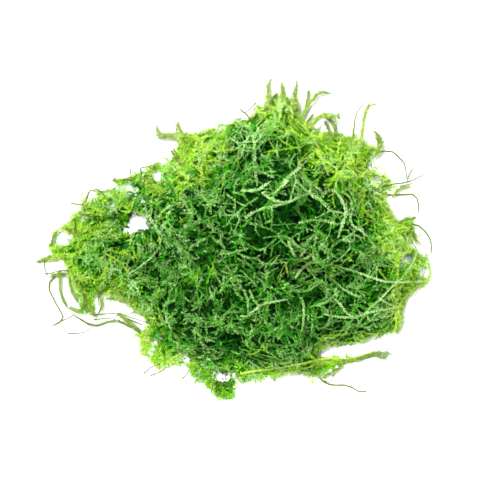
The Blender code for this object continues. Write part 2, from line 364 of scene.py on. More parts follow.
def walk(start, heading, count, depth, curl, rise, edge, stray, wobble, level):
    """Walks shoots from their starts; returns their places and outward directions at each step."""
    place, places, outs = start.copy(), [start.copy()], [outward(start)]
    for k in range(count.max()):
        age = np.clip(k / count, 0, 1)
        if level:
            out = np.tile(SKY, (len(place), 1))
            lift = np.minimum(depth, sample(envelope, place) - BURIED) - place[:, 2]
        else:
            out = outward(place)
            aim = depth - rise * np.clip((age - TIP_FROM) / TIP_PART, 0, 1)
            lift = (sample(envelope, place) - place[:, 2]) * out[:, 2] - aim
        heading = turned(heading, out, curl * STEP)
        heading += out * np.clip(lift / REGAIN, -STEEPEST, STEEPEST)[:, None] * PULL
        heading += rng.normal(0, wobble, heading.shape)
        curl = curl + rng.normal(0, CURL_DRIFT, len(curl))
        near = np.clip(1 - (sample(edge, place) + stray) / TURN_BACK, 0, 1)
        heading[:, 0] += near * PULL * sample(inward_x, place)
        heading[:, 1] += near * PULL * sample(inward_y, place)
        heading = unit(heading)
        place = place + heading * STEP
        place[:, 2] = np.maximum(place[:, 2], LOWEST)
        places.append(place.copy())
        outs.append(out)
    return np.array(places), np.array(outs)


print(f"a shoot takes a step every {STEP / MM} mm")

# %% [markdown]
# Shoots come in three kinds, and each has greens of its own: old ones are a cool dark green, young
# ones yellow-green, and dry ones straw-coloured. What is kept of a shoot is its points, the way that
# its flat side faces, and a few sizes.

# %% Keep the shoots
OLD, YOUNG, DRY = 0, 1, 2
DRY_RIM = 3 * MM  # width of the rim where dry shoots grow
YOUNG_ODDS, YOUNG_START = 1.5, 0.32  # how quickly young shoots take over as freshness grows
ROLL_SPREAD = 0.45  # how much the flat sides of shoots are turned from the envelope
TIP_TONE = 0.14  # how much fresher a shoot's tip is than its foot
shoots = []


def keep(points, outs, leaf, stem, tone, kind, roll=0.0, pitch=1.0, tips=TIP_TONE):
    """Stores one shoot: its points, the way its flat side faces, and the sizes along it."""
    along = unit(np.gradient(points, axis=0))
    face = turned(unit(outs), along, np.full(len(points), roll))
    shoots.append({"points": points, "face": face, "leaf": leaf, "stem": stem, "tone": tone,
                   "kind": float(kind), "pitch": pitch, "tips": tips})


def keep_batch(places, outs, count, leaf, stem, tone, kind, pitch, tips):
    """Stores the shoots of a batch, each cut to its own number of steps."""
    roll = rng.normal(0, ROLL_SPREAD, len(count))
    for i, n in enumerate(count):
        keep(places[: n + 1, i], outs[: n + 1, i], leaf[i], stem[i], tone[i], kind[i], roll[i], pitch,
             tips)


def kind_at(points):
    """Draws the kind of each shoot: young where the moss is fresh, with some dry ones at the rim."""
    seen = seen_spots(points)
    chance = rng.random(len(points))
    kind = np.where(chance < YOUNG_ODDS * sample(fresh_and_glow_field, seen) - YOUNG_START, YOUNG, OLD)
    dry = sample(dry_field, seen) * np.exp(-np.maximum(sample(open_rim, seen), 0) / DRY_RIM)
    return np.where(rng.random(len(points)) < dry, DRY, kind)


print("three kinds of shoots:", OLD, YOUNG, DRY)

# %% [markdown]
# Moss in water grows with the flow, so neighbouring shoots lie roughly side by side. A few spots, each
# with a direction, are enough to comb the whole clump: a direction and its opposite count as the same.

# %% Say which way the shoots lie
FLOWS = [  # middle x, y, radius in millimetres, and the direction that the shoots follow there
    (8, 34, 7, 48), (16, 33, 7, 58), (22, 33, 6, -52), (30, 26, 8, -35), (38, 26, 7, 40),
    (12, 16, 8, 25), (20, 22, 6, 50), (28, 12, 7, -38), (38, 8, 8, -60), (50, 4, 7, 70),
    (10, -6, 8, 10), (22, -6, 8, -35), (36, -10, 8, 42), (46, -16, 8, 45), (50, -9, 6, 60),
    (38, -23, 8, 0), (22, -22, 8, 30), (8, -22, 8, 40), (14, -34, 9, 10), (32, -30, 7, 12),
    (0, 25, 7, 75), (-12, 27, 8, 60), (-40, 2, 10, -30),
]


def flow_at(spots):
    """The direction that shoots follow at spots, from 0 to 1 long, by how strong it is there."""
    flow = np.zeros((len(spots), 2))
    for x, y, radius, angle in FLOWS:
        near = np.exp(-((spots[:, 0] - x * MM) ** 2 + (spots[:, 1] - y * MM) ** 2) / (radius * MM) ** 2)
        turn = 2 * math.radians(angle)
        flow += near[:, None] * (math.cos(turn), math.sin(turn))
    half_turn = np.arctan2(flow[:, 1], flow[:, 0]) / 2
    strength = np.clip(np.linalg.norm(flow, axis=1), 0, 1)
    return np.column_stack([np.cos(half_turn), np.sin(half_turn)]) * strength[:, None]


print(len(FLOWS), "directions comb the clump")

# %% [markdown]
# A batch starts from random spots under the envelope. Its numbers say how deep the shoots lie, how
# long they are, how large their leaves are and how many branches they carry. Side branches leave at a
# wide angle and walk the same way. So a few lines grow the old moss, the tangle and the young shoots.

# %% Grow one batch with its branches
TRIES = 14  # spots drawn for each shoot, because most of them fall where none may start
START_INSIDE = 0.3 * MM  # how far inside the outline a shoot starts
FLATTEST = 0.3  # stops the slope at the rim from sinking a shoot too far
SIZES = (0.8, 1.2)  # how leaf sizes vary
STEM_RADIUS = (0.07, 0.11)  # in millimetres
STRAY_SHARE = 0.16  # part of the shoots that may stray over the outline
STRAY_REACH = (0.3, 2.4)  # how far those may, in millimetres
FORWARD, UPWARD = 0.5, 0.1  # how much first directions vary along the envelope, and out of it
TONE_SPREAD = 0.10  # how much the tones of neighbours differ
BRANCH_GAP = 3.2 * MM
BRANCH_PLACE = (0.12, 0.9)  # where branches leave, from the foot of their shoot to its tip
BRANCH_ANGLE = (0.6, 1.1)  # to the shoot, in radians
BRANCH_RISE = (-0.1, 0.35)  # how far a branch turns out of the envelope
BRANCH_PART, NEAR_TIP = (0.25, 0.5), 0.5  # its part of the shoot's length, and how much less at the tip
BRANCH_LEAF, BRANCH_STEM, BRANCH_TONE = 0.88, 0.85, 0.04  # smaller, thinner and a little fresher
BRANCH_LIFT = 0.4 * MM  # how much higher it lies
SHORTEST = 3  # steps in the shortest shoot


def grow(number, where, depth, length, leaf, branches=0.8, curl=60, tone=0.0, rise=1.5 * MM,
         wobble=0.05, pitch=1.0, clumped=0.0, follow=0.8, edge=rim, level=False, tips=TIP_TONE):
    """Grows a batch of shoots that start where a 0 to 1 field is high."""
    spots = rng.uniform((low.x, low.y), (high.x, high.y), (number * TRIES, 2))
    likely = sample(where, spots) * (1 - clumped * sample(thin, spots))
    spots = spots[(sample(edge, spots) > START_INSIDE) & (rng.random(len(spots)) < likely)][:number]
    number = len(spots)
    out, top = outward(spots), sample(envelope, spots)
    sunk = rng.uniform(*depth, number) * MM
    drop = np.minimum(sunk / np.maximum(out[:, 2], FLATTEST), np.maximum(top - LOWEST, 0))
    start = np.column_stack([spots, top - drop])
    if level:
        out, sunk = np.tile(SKY, (number, 1)), start[:, 2]
    way = rng.normal(size=(number, 2)) * FORWARD
    way += flow_at(spots) * rng.choice([-1, 1], (number, 1)) * follow
    heading = np.column_stack([way, rng.normal(size=number) * UPWARD])
    heading = unit(heading - out * (heading * out).sum(1, keepdims=True))
    count = np.maximum((rng.uniform(*length, number) * MM / STEP).astype(int), SHORTEST)
    stray = np.where(rng.random(number) < STRAY_SHARE, rng.uniform(*STRAY_REACH, number) * MM, 0)
    bend = rng.normal(0, curl, number)
    places, outs = walk(start, heading, count, sunk, bend, rise, edge, stray, wobble, level)
    shift = tone + rng.normal(0, TONE_SPREAD, number)
    kind = kind_at(start)
    size = leaf * rng.uniform(*SIZES, number)
    stem = rng.uniform(*STEM_RADIUS, number) * MM
    keep_batch(places, outs, count, size, stem, shift, kind, pitch, tips)

    sprouts = (count * STEP / BRANCH_GAP * branches + rng.random(number)).astype(int)
    owner = np.repeat(np.arange(number), sprouts)
    at = (count[owner] * rng.uniform(*BRANCH_PLACE, len(owner))).astype(int)
    base, face = places[at, owner], outs[at, owner]
    along = unit(places[np.minimum(at + 1, count[owner]), owner] - base + 1e-9)
    angle = rng.choice([-1, 1], len(owner)) * rng.uniform(*BRANCH_ANGLE, len(owner))
    heading = unit(turned(along, face, angle) + face * rng.uniform(*BRANCH_RISE, (len(owner), 1)))
    steps = count[owner] * rng.uniform(*BRANCH_PART, len(owner)) * (1 - NEAR_TIP * at / count[owner])
    steps = np.maximum(steps.astype(int), SHORTEST)
    bend = rng.normal(0, curl, len(owner))
    places, outs = walk(base, heading, steps, sunk[owner] - BRANCH_LIFT, bend, rise, edge, stray[owner],
                        wobble, level)
    keep_batch(places, outs, steps, size[owner] * BRANCH_LEAF, stem[owner] * BRANCH_STEM,
               shift[owner] + BRANCH_TONE, kind[owner], pitch, tips)


print(f"a branch leaves about every {BRANCH_GAP / MM} mm")

# %% [markdown]
# The right of the clump is long feathery shoots, the left is short, fine and curly ones. One field says
# how fine the moss is at each spot. Another thins the young shoots in small random patches and in the
# hollows, so that the darker moss shows between them. Big leaves, painted dark as shade, close the bottom
# of the tangle, and the top batches are painted lighter, partly as painted light.

# %% Grow the moss, from the deep old shoots outwards
LEFT_EDGE, RIGHT_EDGE = -14 * MM, 4 * MM  # between them the fine moss gives way to the long
FINE_PATCHES = [(26, -20, 15, 0.55), (10, -30, 10, 0.5), (40, -4, 9, 0.4)]  # fine moss on the right
PATCH_WIDTH, PATCH_SEED, PATCHY, MORE = 3.5 * MM, 9.5, 0.9, 0.1  # the thin patches: size, depth, share
RIM_FULL, RIM_FADE = 1.2, 9 * MM  # how the shoots of the rim give way inwards


def inset(from_outline, from_holes):
    """A rim that stays this far inside the outline and off the holes."""
    return np.minimum(open_rim - from_outline, rim - from_holes)


fine_part = (RIGHT_EDGE - mesh_x) / (RIGHT_EDGE - LEFT_EDGE)
fine_part = np.clip(np.maximum(fine_part, spots_of(FINE_PATCHES)), 0, 1)
everywhere = np.ones(mesh_x.shape)
thin = np.clip(hollow + PATCHY * np.clip(solid_noise(PATCH_WIDTH, PATCH_SEED) + MORE, 0, 1), 0, 1)
rim_zone = np.clip(RIM_FULL - open_rim / RIM_FADE, 0, 1)
deep_edge, low_edge = inset(5 * MM, 1.5 * MM), inset(1.2 * MM, 0.7 * MM)

# tone offsets: darker for the deep batches, lighter for the top ones, as painted shade and light over the
# age colours
grow(1900, everywhere, (3.0, 30), (9, 16), 2.5, 0.5, tone=-0.12, rise=0.0, follow=0.0, edge=deep_edge,
     pitch=1.5, level=True, tips=0.0)
grow(820, rim_zone, (1.5, 8), (7, 12), 1.6, 0.6, tone=-0.03, rise=0.0, follow=0.2, edge=low_edge,
     pitch=1.35)
grow(500, rim_zone, (0.6, 3), (6, 11), 1.0, 0.8, tone=0.0, follow=0.6, pitch=1.15)
print(f"{len(shoots)} old shoots and branches")
grow(560, 1 - fine_part, (1.4, 5), (8, 15), 0.74, 0.8, tone=-0.10, pitch=1.1, clumped=0.6)
grow(820, fine_part, (1.0, 4.5), (5, 9), 0.64, 1.1, curl=90, tone=-0.04, follow=0.2, pitch=1.15, tips=0.3)
print(f"{len(shoots)} with the tangle")
grow(350, 1 - fine_part, (-0.2, 1.2), (8, 18), 0.60, 0.7, curl=45, tone=0.24, wobble=0.03, clumped=0.9)
grow(860, fine_part, (-0.4, 1.2), (3.5, 8), 0.56, 1.4, curl=110, tone=0.22, rise=2 * MM, clumped=0.8,
     follow=0.2, pitch=1.1, tips=0.6)
total = sum(len(shoot["points"]) * STEP for shoot in shoots)
print(f"{len(shoots)} shoots in all, {total:.1f} m")

# %% [markdown]
# ## The shoots that the eye follows
# A few long shoots lie on top of the tangle and catch the light, and a few wisps leave its rim. These
# give the clump its character, so they are laid one by one. Each is a short list of spots as they look
# from the camera, and is dropped along the line of sight on to the envelope.

# %% Lay shoots one by one, in millimetres
TOP_SHOOTS = [
    [(3.6, 6.6), (7.3, 8.9), (12.4, 10.3), (17, 11.7), (20.6, 13.3), (23.4, 14.4)],
    [(17, 11.7), (18.1, 15.3), (18.8, 18.1), (18.2, 20.4)],
    [(19.1, 12.3), (23.1, 14.5), (23.4, 16), (21.8, 18.2), (20.3, 20.9)],
    [(19.3, 17.3), (22.9, 14), (26.6, 11.7), (29.8, 8.9), (33.5, 8)],
    [(18.8, 17.6), (21.8, 15.1), (24.9, 13.3), (26.7, 12)],
    [(26.6, 12.6), (28, 14.4), (30.8, 14.9), (32.6, 12.2), (34, 8.6), (33, 4.8), (31.6, 0.7)],
    [(19.7, 5.3), (22.1, 5.6), (25.2, 5.9), (28.3, 5.6), (31.6, 4.7)],
    [(24.9, 6.5), (27.4, 7.7), (29.8, 9)],
    [(36.2, 9.3), (35.3, 7.4), (35.6, 5), (37.1, 3.5), (39, 2.3), (40.8, 0.7)],
    [(2.3, 14.8), (4.7, 14.8), (7.4, 15.1), (9.6, 16.3), (11.4, 17.6)],
    [(8.7, 14.5), (10.5, 13), (13, 11.7), (15.4, 11.4)],
    [(7.1, 20.9), (9.6, 20), (12.4, 18.8)],
    [(8.4, 25.8), (10.5, 24.3), (12.1, 22.4)],
    [(12.4, 13.9), (15.1, 16.3), (17.2, 18.8)],
    [(14.6, 16.7), (17.4, 19.5), (21.5, 23.2), (24.3, 26)],
    [(19.7, 23.1), (22.1, 24.9), (24.9, 26.7)],
    [(21.8, 19.1), (24.3, 16.6), (26.7, 14.8)],
    [(24.8, 27.8), (27, 24), (28.3, 20.9), (28.9, 19.4)],
    [(17, 37.7), (19.4, 35.6), (21.8, 33.5), (23.7, 30.7), (25.8, 28)],
    [(5, 33.8), (6.5, 30.5), (6.5, 26), (6.8, 21.5), (7.4, 16.4)],
    [(2.6, 25.2), (4.1, 29.5), (5.3, 31.9)],
    [(6.2, 29.5), (6.8, 31.3), (8.4, 34.4), (10.2, 35.9), (12.4, 37.1)],
    [(6.8, 29.5), (8.7, 31.3), (10.8, 34.7), (13, 36.2)],
    [(2.3, -8.9), (4.5, -10.7), (7.3, -14)],
    [(7.8, -7), (11.4, -7), (16, -6.6)],
    [(16.5, -0.2), (17.9, -3.4), (18.8, -5.2)],
    [(18.8, -11.6), (20.6, -8.9), (22.9, -7), (26.1, -6.6)],
    [(3.2, -14.9), (4.6, -18.5), (4.6, -21.8)],
    [(5, -14.9), (6.4, -18.1), (7.8, -20.4), (4.6, -22.2)],
    [(2.3, -23), (5, -22.7), (7.8, -19.9), (12.8, -18.5), (16.5, -17.8)],
    [(5.5, -25), (5.9, -26.8), (5, -28.6)],
    [(20.6, -17.2), (21.3, -20.4), (21.1, -24), (20.6, -27.3)],
    [(29.3, -11.2), (33.5, -14.9), (38.1, -17.2)],
    [(29.8, -17.2), (32.1, -19.4), (34.4, -22.2), (36.2, -23.1)],
    [(31.2, -6.1), (33.5, -4.3), (35.3, -2)],
    [(31.7, -8), (35.3, -8.9), (39, -10.3), (42.7, -11.6), (46.4, -12.5), (54.6, -12.5), (57.8, -12.5)],
    [(43.6, -17.2), (46.4, -19), (49.6, -20.4)],
    [(37.2, -25.9), (39.9, -21.8), (43.6, -18.1), (47.7, -14), (52.4, -9.3), (56.5, -1.1)],
    [(27.1, -22.2), (32, -23.1), (37.1, -23.1), (40.3, -21.8), (48.1, -20.4), (50.9, -19.9)],
    [(2.3, -40.1), (6.8, -39.2), (13.7, -38.3), (20.6, -36.9), (28, -35.5), (34.4, -35.5), (39, -34.6)],
    [(-31.2, -10.3), (-27.5, -8), (-23.8, -4.7), (-21.5, -1.5)],
    [(-26.6, 9.8), (-23.8, 5.2), (-21.1, 1.1)],
    [(-53.7, 2.5), (-51.4, 3.4), (-48.2, 0.6)],
]
BUSHY_WISPS = [
    [(-51.8, -9.4), (-51.4, -15.2), (-50.5, -18.3), (-49.3, -20.2)],
    [(-49, -11), (-48, -15.2), (-46.7, -17.6), (-46.4, -18.6)],
    [(-46.6, -12.6), (-44.9, -15.2), (-44.2, -18.3), (-44.9, -20.8)],
    [(-48.9, -20.2), (-46.1, -21.4), (-43.6, -20.8)],
    [(-44.2, -18.3), (-42.4, -20.8), (-41.1, -22.7)],
    [(-39.2, -14), (-39.9, -17.6), (-39.2, -20.2), (-40.2, -22.4)],
    [(-54.6, -10.8), (-52.4, -10.1), (-49.9, -10.5)],
    [(-46.7, 0.5), (-48.6, 3), (-51.8, 3.3), (-53.6, 2), (-54.2, -0.8), (-54.9, -1.7)],
    [(-43.6, 11.1), (-44.6, 9.2), (-45.2, 7.7)],
    [(-46.1, 7.4), (-44.2, 7.4), (-42.9, 7.5)],
    [(-36.1, 18.3), (-34.3, 17.7), (-32.4, 18.3), (-29.9, 18.3)],
    [(-25.2, 22.3), (-24.2, 21.1), (-23, 21.1)],
    [(-34.3, -22), (-31.7, -24), (-29.2, -26.4), (-27.7, -27.7)],
    [(-18.3, 27.3), (-16.9, 25), (-15.4, 23)],
    [(-16.9, 35.6), (-16, 32.3), (-14, 30.4)],
    [(22.9, 45.2), (22.5, 42), (22, 39.7), (20.6, 37.4)],
    [(24.3, 37.9), (22.9, 36), (21, 34)],
    [(24.6, 36.4), (27, 38), (28.4, 37.6), (30.8, 35), (31.6, 31.5)],
    [(29.6, 30), (29, 33), (27.8, 35.6)],
    [(13.3, 44.1), (11.7, 42), (11, 40)],
    [(54.8, 6.4), (52.8, 6.4), (50, 5.2)],
    [(48, 13), (50, 15.5), (53.5, 16.4)],
    [(52.3, 5.2), (54, 3), (55.4, -1)],
    [(27, -41), (31, -39), (33, -36.4)],
    [(36.8, -36), (41.4, -34.4), (45.6, -35.2), (46.2, -32.6)],
]
THREADS = [
    [(-56.4, -6.1), (-56.2, -9.3), (-55.5, -10.7)],
    [(-49.1, -9.3), (-52.3, -9.3), (-55.5, -10.3), (-57.3, -10)],
    [(-49.3, -28), (-44.9, -27.8), (-42, -26.1)],
    [(-47.4, -22.4), (-49.3, -23.6), (-50.5, -23.9), (-53.6, -25.6)],
    [(-47.4, -22.4), (-44.9, -24.2), (-42.4, -25.5), (-40.5, -25.8), (-37.7, -24.8), (-35.5, -24.2),
     (-34.3, -22)],
    [(-41.8, -23.9), (-39.9, -23.9), (-37.7, -23.3), (-35.5, -23.6)],
    [(-42.7, -22.4), (-40.5, -22.4), (-37.7, -22.1), (-34.3, -22.1), (-31.7, -22.7), (-29.2, -23.6),
     (-26.1, -24.5)],
    [(-34.3, -23.9), (-31.7, -25.5), (-29.2, -26.4), (-27.7, -27.7)],
    [(-31.7, -23.6), (-29.2, -24.5), (-26.8, -25.5)],
    [(-38, -17.6), (-36.8, -18.9), (-35.5, -17.6)],
    [(-26.6, -39.9), (-24.3, -38), (-21.5, -37)],
    [(-24.7, -40.6), (-21.1, -39.2), (-19.2, -37.8)],
    [(-15.3, -41.7), (-13.7, -40.1), (-12.4, -38)],
    [(-48.6, 11.1), (-46.7, 10.8), (-44.6, 10.8), (-43.6, 12.4), (-43.3, 14.3), (-41.4, 15.4),
     (-39.2, 14.3), (-38.6, 13)],
    [(-47.7, 6.8), (-47.1, 4.2), (-47.4, 2.4)],
    [(-30.5, 21.7), (-30.8, 19.9), (-30.5, 18.6)],
    [(-27.7, 21.7), (-27.4, 19.2), (-28, 18)],
    [(-27.5, 21.8), (-25.2, 22.2), (-22, 23.2)],
    [(27, -42.2), (29.3, -42.2), (30.4, -39.9)],
    [(54.2, 21.5), (53, 19.5), (52.3, 17.2)],
    [(45.2, 19.5), (45.4, 18), (44, 16)],
    [(7.1, 41.6), (5.9, 40.1), (3.6, 38.3)],
    [(2.2, 39.6), (3.8, 38.4), (5.2, 36.6)],
]
TOP_LIFT = 0.8 * MM  # how far the shoots on top stand over the envelope
FADE, STRAND_FADE = -0.16, -0.3  # loose shoots are browner at their ends
SPREAD = np.array([0.25, 0.25, 0.08]) * MM  # how far apart the shoots of one strand lie
LEANS, LEAN_ROLL = (-1.2, 0, 1.2), 0.4  # a wisp is three shoots side by side, turned apart
WISP_SWAY, STRAND_SWAY = 0.06 * MM, 0.04 * MM  # how far they wander from their route at each step
SETTLING = 5  # rounds in which a laid shoot finds its height
BETWEEN, FEWEST = 10, 3  # points read between two given ones, and the fewest kept of a route

# the raised tone paints the shoots on top lighter: their own paler green, and partly a painted highlight
TOP_LOOK = {"stem": 0.12 * MM, "tone": 0.52, "pitch": 0.9}
WISP_LOOK = {"leaf": 0.85, "stem": 0.2 * MM, "tone": -0.2, "kind": DRY, "pitch": 0.9, "tips": FADE}
THREAD_LOOK = {"leaf": 0.6, "stem": 0.24 * MM, "tone": -0.42, "kind": DRY, "pitch": 1.2, "tips": FADE}
FRONT_LEAF, BACK_LEAF = (-12 * MM, 0.64), (8 * MM, 0.84)  # leaf sizes on top, largest at the back
TOP_ROLL, YOUNG_FROM = 0.2, 0.5  # how those shoots are turned, and how fresh a spot makes them young


def smooth_line(points):
    """Points a step apart along a smooth curve through the given ones."""
    points = np.array(points, float)
    ends = np.vstack([2 * points[0] - points[1], points, 2 * points[-1] - points[-2]])
    t = np.linspace(0, 1, BETWEEN, endpoint=False)[:, None]
    pieces = [
        0.5 * (2 * b + (c - a) * t + (2 * a - 5 * b + 4 * c - d) * t**2 + (3 * b - a - 3 * c + d) * t**3)
        for a, b, c, d in zip(ends, ends[1:], ends[2:], ends[3:])
    ]
    dense = np.vstack([*pieces, points[-1:]])
    run = np.concatenate([[0], np.cumsum(np.linalg.norm(np.diff(dense, axis=0), axis=1))])
    at = np.linspace(0, run[-1], max(FEWEST, round(run[-1] / STEP) + 1))
    return np.column_stack([np.interp(at, run, column) for column in dense.T])


def laid(line, lift):
    """A shoot dropped along the line of sight on to the envelope."""
    seen = smooth_line(np.array(line) * MM)
    spots = seen.copy()
    for _ in range(SETTLING):
        height = np.maximum(sample(envelope, spots) + lift, LOWEST)
        spots = seen + (eye[:2] - seen) * (height / eye[2])[:, None]
    return np.column_stack([spots, height])


def beside(points, sway, lean, apart=1.0):
    """A copy of a route that wanders a little, at its own place across the strand."""
    return points + (np.cumsum(rng.normal(0, sway, points.shape), axis=0) + lean * SPREAD * apart)


for line in TOP_SHOOTS:
    points = laid(line, TOP_LIFT)
    kind = YOUNG if sample(fresh_and_glow_field, seen_spots(points)).mean() > YOUNG_FROM else OLD
    size = np.interp(points[:, 1].mean(), *zip(FRONT_LEAF, BACK_LEAF))
    keep(points, outward(points), size, kind=kind, roll=rng.normal(0, TOP_ROLL), **TOP_LOOK)
for line in BUSHY_WISPS:
    points = laid(line, 0.0)
    for lean in LEANS:
        keep(beside(points, WISP_SWAY, lean), outward(points), roll=LEAN_ROLL * lean, **WISP_LOOK)
for line in THREADS:
    points = laid(line, 0.0)
    keep(points, outward(points), **THREAD_LOOK)
print(len(TOP_SHOOTS), "shoots,", len(BUSHY_WISPS), "wisps and", len(THREADS), "threads laid by hand")

# %% [markdown]
# ## The loose strands
# Eighteen strands stray far enough to be nodes of their own. Their routes repeat those of the packed
# model, so each leafy strand stands where its plain tube stood, and starts inside the moss.

# %% Route the loose strands, in millimetres
LEAFY, SLIM = (1.05, 5, 0.7), (0.95, 3, 0.7)  # leaf size, number of shoots and leaf pitch
THREAD, BARE = (0.7, 2, 1.2), (0.55, 1, 1.1)
STRANDS = {
    "strand_back_spike_left": (LEAFY, [
        (10.2, 38, 7), (10.7, 42.5, 8), (10.7, 45.2, 8.4), (11.4, 47.2, 8.6), (12.6, 47.4, 8.6)]),
    "strand_back_spike_middle": (LEAFY, [
        (15.6, 38, 8), (15.1, 42.9, 9.6), (14.6, 45.2, 10.2), (14.3, 47.2, 10.6)]),
    "strand_back_spike_right": (LEAFY, [
        (18.2, 38, 7.6), (18.6, 42.5, 9), (19, 45.2, 9.8), (18.7, 47.4, 10.4)]),
    "strand_back_hook": (SLIM, [
        (19.6, 34.6, 4.2), (22.5, 40.1, 3.6), (24.3, 42, 3.4), (26.1, 44, 3.2), (31.2, 43.7, 2.6)]),
    "strand_back_curl": (LEAFY, [
        (23.6, 33.6, 6.6), (26.6, 36.5, 7.2), (29.9, 36.5, 7.4), (31.7, 35.9, 7.2), (31.4, 38.6, 7)]),
    "strand_back_right_stem": (SLIM, [
        (38.4, 27, 5.8), (38.6, 32, 6.6), (40.1, 38.6, 7.2), (41.4, 40.2, 7.2), (45, 40.4, 7)]),
    "strand_back_right_fork": (BARE, [
        (35.8, 29, 5), (36.4, 35.1, 5.4), (36.9, 37.4, 5.6), (38.4, 39.6, 5.6), (40.4, 41.4, 5.4)]),
    "strand_back_right_spike": (LEAFY, [
        (42.6, 24.6, 4.4), (44, 28.4, 5.4), (43.2, 30.6, 6.2), (41.5, 33, 7)]),
    "strand_right_arc": (BARE, [
        (43.4, 26.2, 2.6), (47.3, 26.4, 4.2), (50, 24.1, 5), (51.4, 22.2, 5), (52, 18, 4.2)]),
    "strand_right_branch": (BARE, [
        (44.6, 16, 2.4), (48.2, 16.7, 2.6), (52.4, 17.2, 2.8), (55.5, 18.6, 3), (57.6, 19.5, 3)]),
    "strand_right_hook": (BARE, [
        (45.2, 13.5, 1.2), (50.5, 13.6, 1.1), (54.4, 13.7, 1), (55.5, 11.7, 1), (55.8, 8.2, 1)]),
    "strand_right_rim": (BARE, [
        (53.3, 4.6, 3.4), (56, 3.9, 3.4), (57.8, 2, 3.2), (59.2, -0.6, 2.8), (59.4, -4.2, 2.4)]),
    "strand_front_right": (LEAFY, [
        (24.3, -36, 1.3), (32.6, -36.4, 1.3), (39.9, -34.8, 1.3), (43.4, -33.8, 1.3), (48.6, -34.8, 1.3)]),
    "strand_front_straggler": (BARE, [
        (23.6, -38.6, 1.1), (28, -42.9, 1.1), (34.4, -43.4, 1.1), (36.8, -45, 1.1), (39.8, -45.2, 1.1)]),
    "strand_front_left_bridge": (THREAD, [
        (-27.5, -27.3, 1.3), (-33.5, -24.6, 1.3), (-37, -24.4, 1.3), (-41.6, -25.6, 1.3),
        (-46.8, -22.9, 1.3)]),
    "strand_left_front_stem": (BARE, [
        (-51.6, -9.6, 2), (-55, -13.5, 1.1), (-53.3, -18.1, 1), (-50.6, -23.5, 1),
        (-53.7, -25.7, 1)]),
    "strand_left_tip": (LEAFY, [
        (-51.8, -5.2, 2.2), (-55.4, -5.6, 1.7), (-57.4, -6.2, 1.3), (-59.1, -6.6, 1.2)]),
    "strand_back_left_hand": (LEAFY, [
        (-14.2, 30.4, 4.6), (-18, 31.2, 4.2), (-21.5, 31, 4), (-22.7, 32.9, 4), (-22.2, 35.4, 4.2)]),
}
FOOT_WIDTH, END_WIDTH = 1.9, 0.3  # a strand is bushier at its foot
SHORTENED = 7  # each shoot further out ends a seventh of the route sooner
LEAFY_STEM, LEAFY_TONE, TONE_STEP = 0.14 * MM, 0.52, 0.05
BARE_STEM, BARE_TONE = 0.36 * MM, 0.40

strand_shoots = {}
for name, ((leaf, number, pitch), route) in STRANDS.items():
    tuft_shoots, shoots = shoots, []
    points = smooth_line(np.array(route) * MM)
    sky = np.tile(SKY, (len(points), 1))
    width = np.linspace(FOOT_WIDTH, END_WIDTH, len(points))[:, None]
    for lean in np.arange(number) - (number - 1) / 2:
        path = beside(points, STRAND_SWAY, lean, width)
        reach = len(points) - int(abs(lean) * len(points) / SHORTENED)
        if number > 1:
            tone = LEAFY_TONE + rng.normal(0, TONE_STEP)
            keep(path[:reach], sky[:reach], leaf, LEAFY_STEM, tone, DRY, LEAN_ROLL * lean, pitch,
                 STRAND_FADE)
        else:
            keep(points, sky, leaf, BARE_STEM, BARE_TONE, DRY, pitch=pitch, tips=FADE)
    strand_shoots[name], shoots = shoots, tuft_shoots
print(len(strand_shoots), "loose strands")

# %% [markdown]
# ## One leaf
# A leaf of this moss is about a millimetre long, pointed, and folded along its middle like a keel. Four
# triangles give that: a kite seen from above, with its two side corners lifted over its keel. It is
# closed, so it stays solid in any export, and it is cheap enough to repeat.

# %% Make the leaf
LEAF_LENGTH, LEAF_WIDTH, LEAF_FOLD = 1.0 * MM, 0.40 * MM, 0.12 * MM
LEAF_CORNERS = [(0, 0, 0), (0.4, 0.5, 1), (0.4, -0.5, 1), (1, 0, 0.5)]
LEAF_FACES = [(0, 2, 1), (1, 2, 3), (0, 1, 3), (0, 3, 2)]


def make_leaf():
    """The helper that the node tree copies along every shoot."""
    corners = [(x * LEAF_LENGTH, y * LEAF_WIDTH, z * LEAF_FOLD) for x, y, z in LEAF_CORNERS]
    mesh = bpy.data.meshes.new("leaf")
    mesh.from_pydata(corners, [], LEAF_FACES)
    across = [y + 0.5 for _, y, _ in LEAF_CORNERS]
    along = [x for x, _, _ in LEAF_CORNERS]
    for name, values in (("leaf_across", across), ("leaf_along", along)):
        mesh.attributes.new(name, "FLOAT", "POINT").data.foreach_set("value", values)
    leaf = bpy.data.objects.new("leaf", mesh)
    bpy.context.scene.collection.objects.link(leaf)
    return leaf


leaf_object = make_leaf()
print("a leaf has", len(leaf_object.data.polygons), "faces")

# %% [markdown]
# ## Node trees, written as sentences
# Node trees are easier to read as expressions. `Wire` wraps a socket, so that `1 - mask * 2` adds the
# Math nodes it needs, and `Tree.node` makes any other node from its type, settings and inputs.

# %% A socket with operators
def pick(sockets, key):
    """The first socket of this name, or of any name, that the node shows."""
    return next(s for s in sockets if not s.is_unavailable and key in (None, s.name))


class Wire:
    """A node's output, with Python's arithmetic on it."""

    def __init__(self, tree, node, key=None):
        self.tree, self.node = tree, node
        self.socket = pick(node.outputs, key)

    def out(self, name):
        """Another output of the same node."""
        return Wire(self.tree, self.node, name)

    def math(self, operation, other=None, swap=False):
        """This value and another through a Math node."""
        made = self.tree.node("ShaderNodeMath", {"operation": operation})
        values = [self] if other is None else [other, self] if swap else [self, other]
        for socket, value in zip(made.node.inputs, values):
            self.tree.feed(socket, value)
        return made


def operator(operation, swap=False):
    """A method for one of Python's operators; the swapped form is for a number on its left."""
    return lambda self, other: self.math(operation, other, swap)


